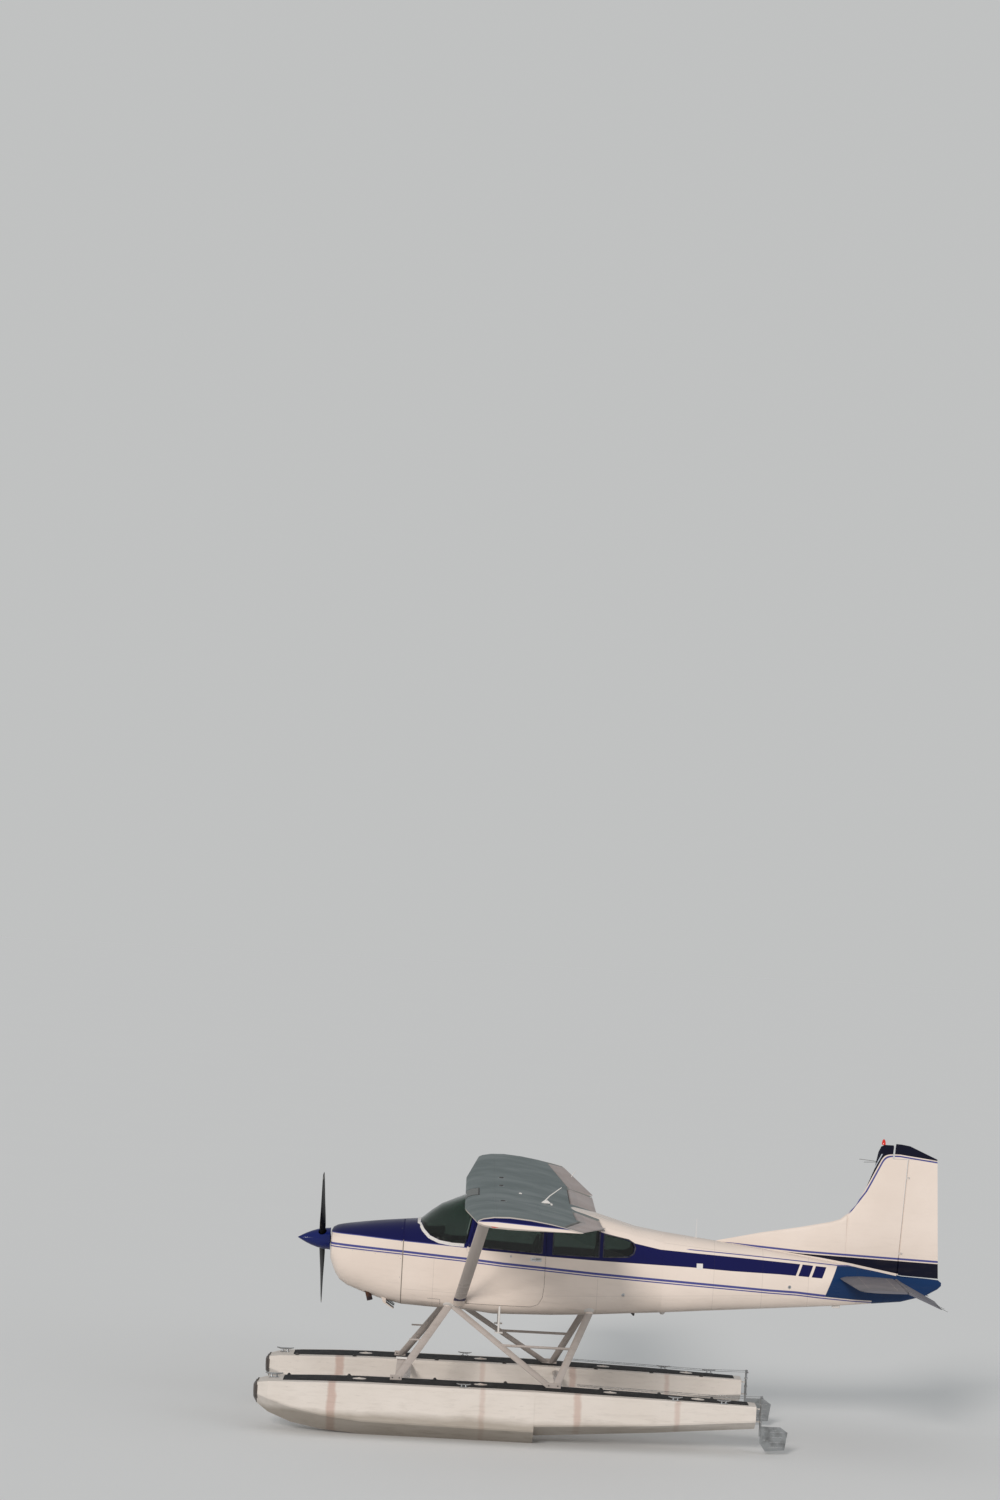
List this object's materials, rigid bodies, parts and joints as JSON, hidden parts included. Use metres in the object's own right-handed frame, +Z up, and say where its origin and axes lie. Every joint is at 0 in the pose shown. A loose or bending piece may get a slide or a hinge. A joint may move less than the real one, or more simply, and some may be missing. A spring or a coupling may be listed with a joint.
{
  "type": "high-wing single-engine floatplane",
  "caption": "High-wing strut-braced utility aircraft on twin floats, with hollow cabin, opening doors, turning propeller and hinged control surfaces.",
  "frame": {"origin": "on the floor under the float keels, midway along the overall length and span", "axes": "+X aft, +Y to the aircraft's right-hand side, +Z up"},
  "size_m": [8.3, 10.92, 3.7623],
  "materials": {
    "white_paint": "gloss",
    "navy_paint": "gloss",
    "blue_paint": "gloss",
    "grey_paint": "satin",
    "float_paint": "satin",
    "black_paint": "satin",
    "engine_metal": "matte",
    "exhaust_steel": "matte",
    "bare_metal": "satin",
    "cabin_glass": "polished",
    "cabin_trim": "matte",
    "seat_cloth": "matte",
    "beacon_lens": "gloss"
  },
  "bodies": {
    "airframe": {"cowling": "white_paint", "engine_block": "engine_metal", "exhaust_pipe": "exhaust_steel", "firewall": "bare_metal", "boot_cowl": "white_paint", "cabin_floor": "white_paint", "cabin_roof": "white_paint", "cabin_top_aft": "white_paint", "windshield": "cabin_glass", "rear_bulkhead": "cabin_trim", "instrument_panel": "cabin_trim", "rear_seat": "seat_cloth", "tail_cone": "blue_paint", "fin": "white_paint", "beacon": "beacon_lens", "front_spreader": "grey_paint", "rear_spreader": "grey_paint", "cabin_side_left": "white_paint", "mid_window_left": "cabin_glass", "aft_window_left": "cabin_glass", "front_seat_left": "seat_cloth", "wing_left": "white_paint", "wing_strut_left": "grey_paint", "stabilizer_left": "white_paint", "float_left": "float_paint", "front_gear_strut_left": "grey_paint", "rear_gear_strut_left": "grey_paint", "gear_brace_left": "grey_paint", "boarding_step_left": "grey_paint", "cabin_side_right": "white_paint", "mid_window_right": "cabin_glass", "aft_window_right": "cabin_glass", "front_seat_right": "seat_cloth", "wing_right": "white_paint", "wing_strut_right": "grey_paint", "stabilizer_right": "white_paint", "float_right": "float_paint", "front_gear_strut_right": "grey_paint", "rear_gear_strut_right": "grey_paint", "gear_brace_right": "grey_paint", "boarding_step_right": "grey_paint"},
    "propeller": {"propeller": "black_paint", "spinner": "navy_paint"},
    "elevator": {"elevator_left": "white_paint", "elevator_right": "white_paint"},
    "rudder": {"rudder": "white_paint"},
    "door_left": {"door_left": "white_paint", "door_glass_left": "cabin_glass"},
    "flap_left": {"flap_left": "white_paint"},
    "aileron_left": {"aileron_left": "white_paint"},
    "water_rudder_left": {"water_rudder_left": "bare_metal"},
    "door_right": {"door_right": "white_paint", "door_glass_right": "cabin_glass"},
    "flap_right": {"flap_right": "white_paint"},
    "aileron_right": {"aileron_right": "white_paint"},
    "water_rudder_right": {"water_rudder_right": "bare_metal"}
  },
  "joints": [
    {"name": "propeller_spin", "type": "hinge", "parent": "airframe", "child": "propeller", "pos_m": [-3.48, 0, 2.18], "axis": [1, 0, 0], "continuous": true},
    {"name": "door_right_hinge", "type": "hinge", "parent": "airframe", "child": "door_right", "pos_m": [-1.675, 0.572, 2.18], "axis": [0, 0, 1], "range_deg": [0, 75]},
    {"name": "door_left_hinge", "type": "hinge", "parent": "airframe", "child": "door_left", "pos_m": [-1.675, -0.572, 2.18], "axis": [0, 0, -1], "range_deg": [0, 75]},
    {"name": "flap_right_hinge", "type": "hinge", "parent": "airframe", "child": "flap_right", "pos_m": [-0.405, 1.56, 2.69177], "axis": [0, 0.9996, 0.0268], "range_deg": [-6, 34]},
    {"name": "flap_left_hinge", "type": "hinge", "parent": "airframe", "child": "flap_left", "pos_m": [-0.405, -1.56, 2.69177], "axis": [0, 0.9996, -0.0268], "range_deg": [-6, 34]},
    {"name": "aileron_right_hinge", "type": "hinge", "parent": "airframe", "child": "aileron_right", "pos_m": [-0.503, 3.88, 2.79307], "axis": [-0.0941, 0.9938, 0.0587], "range_deg": [-20, 15]},
    {"name": "aileron_left_hinge", "type": "hinge", "parent": "airframe", "child": "aileron_left", "pos_m": [-0.503, -3.88, 2.79307], "axis": [0.0941, 0.9938, -0.0587], "range_deg": [-15, 20]},
    {"name": "elevator_hinge", "type": "hinge", "parent": "airframe", "child": "elevator", "pos_m": [3.585, 0, 2.04], "axis": [0, 1, 0], "range_deg": [-49, 0]},
    {"name": "rudder_hinge", "type": "hinge", "parent": "airframe", "child": "rudder", "pos_m": [3.659, 0, 2.817], "axis": [0.0523, 0, 0.9986], "range_deg": [-24, 24]},
    {"name": "water_rudder_right_hinge", "type": "hinge", "parent": "airframe", "child": "water_rudder_right", "pos_m": [1.912, 1.3, 0.43], "axis": [0, 0, 1], "range_deg": [-24, 24]},
    {"name": "water_rudder_left_hinge", "type": "hinge", "parent": "airframe", "child": "water_rudder_left", "pos_m": [1.912, -1.3, 0.43], "axis": [0, 0, 1], "range_deg": [-24, 24]}
  ],
  "couplings": [
    {"joint": "flap_left_hinge", "follows": "flap_right_hinge", "ratio": 1},
    {"joint": "aileron_left_hinge", "follows": "aileron_right_hinge", "ratio": -1},
    {"joint": "water_rudder_right_hinge", "follows": "rudder_hinge", "ratio": 1},
    {"joint": "water_rudder_left_hinge", "follows": "rudder_hinge", "ratio": 1}
  ]
}
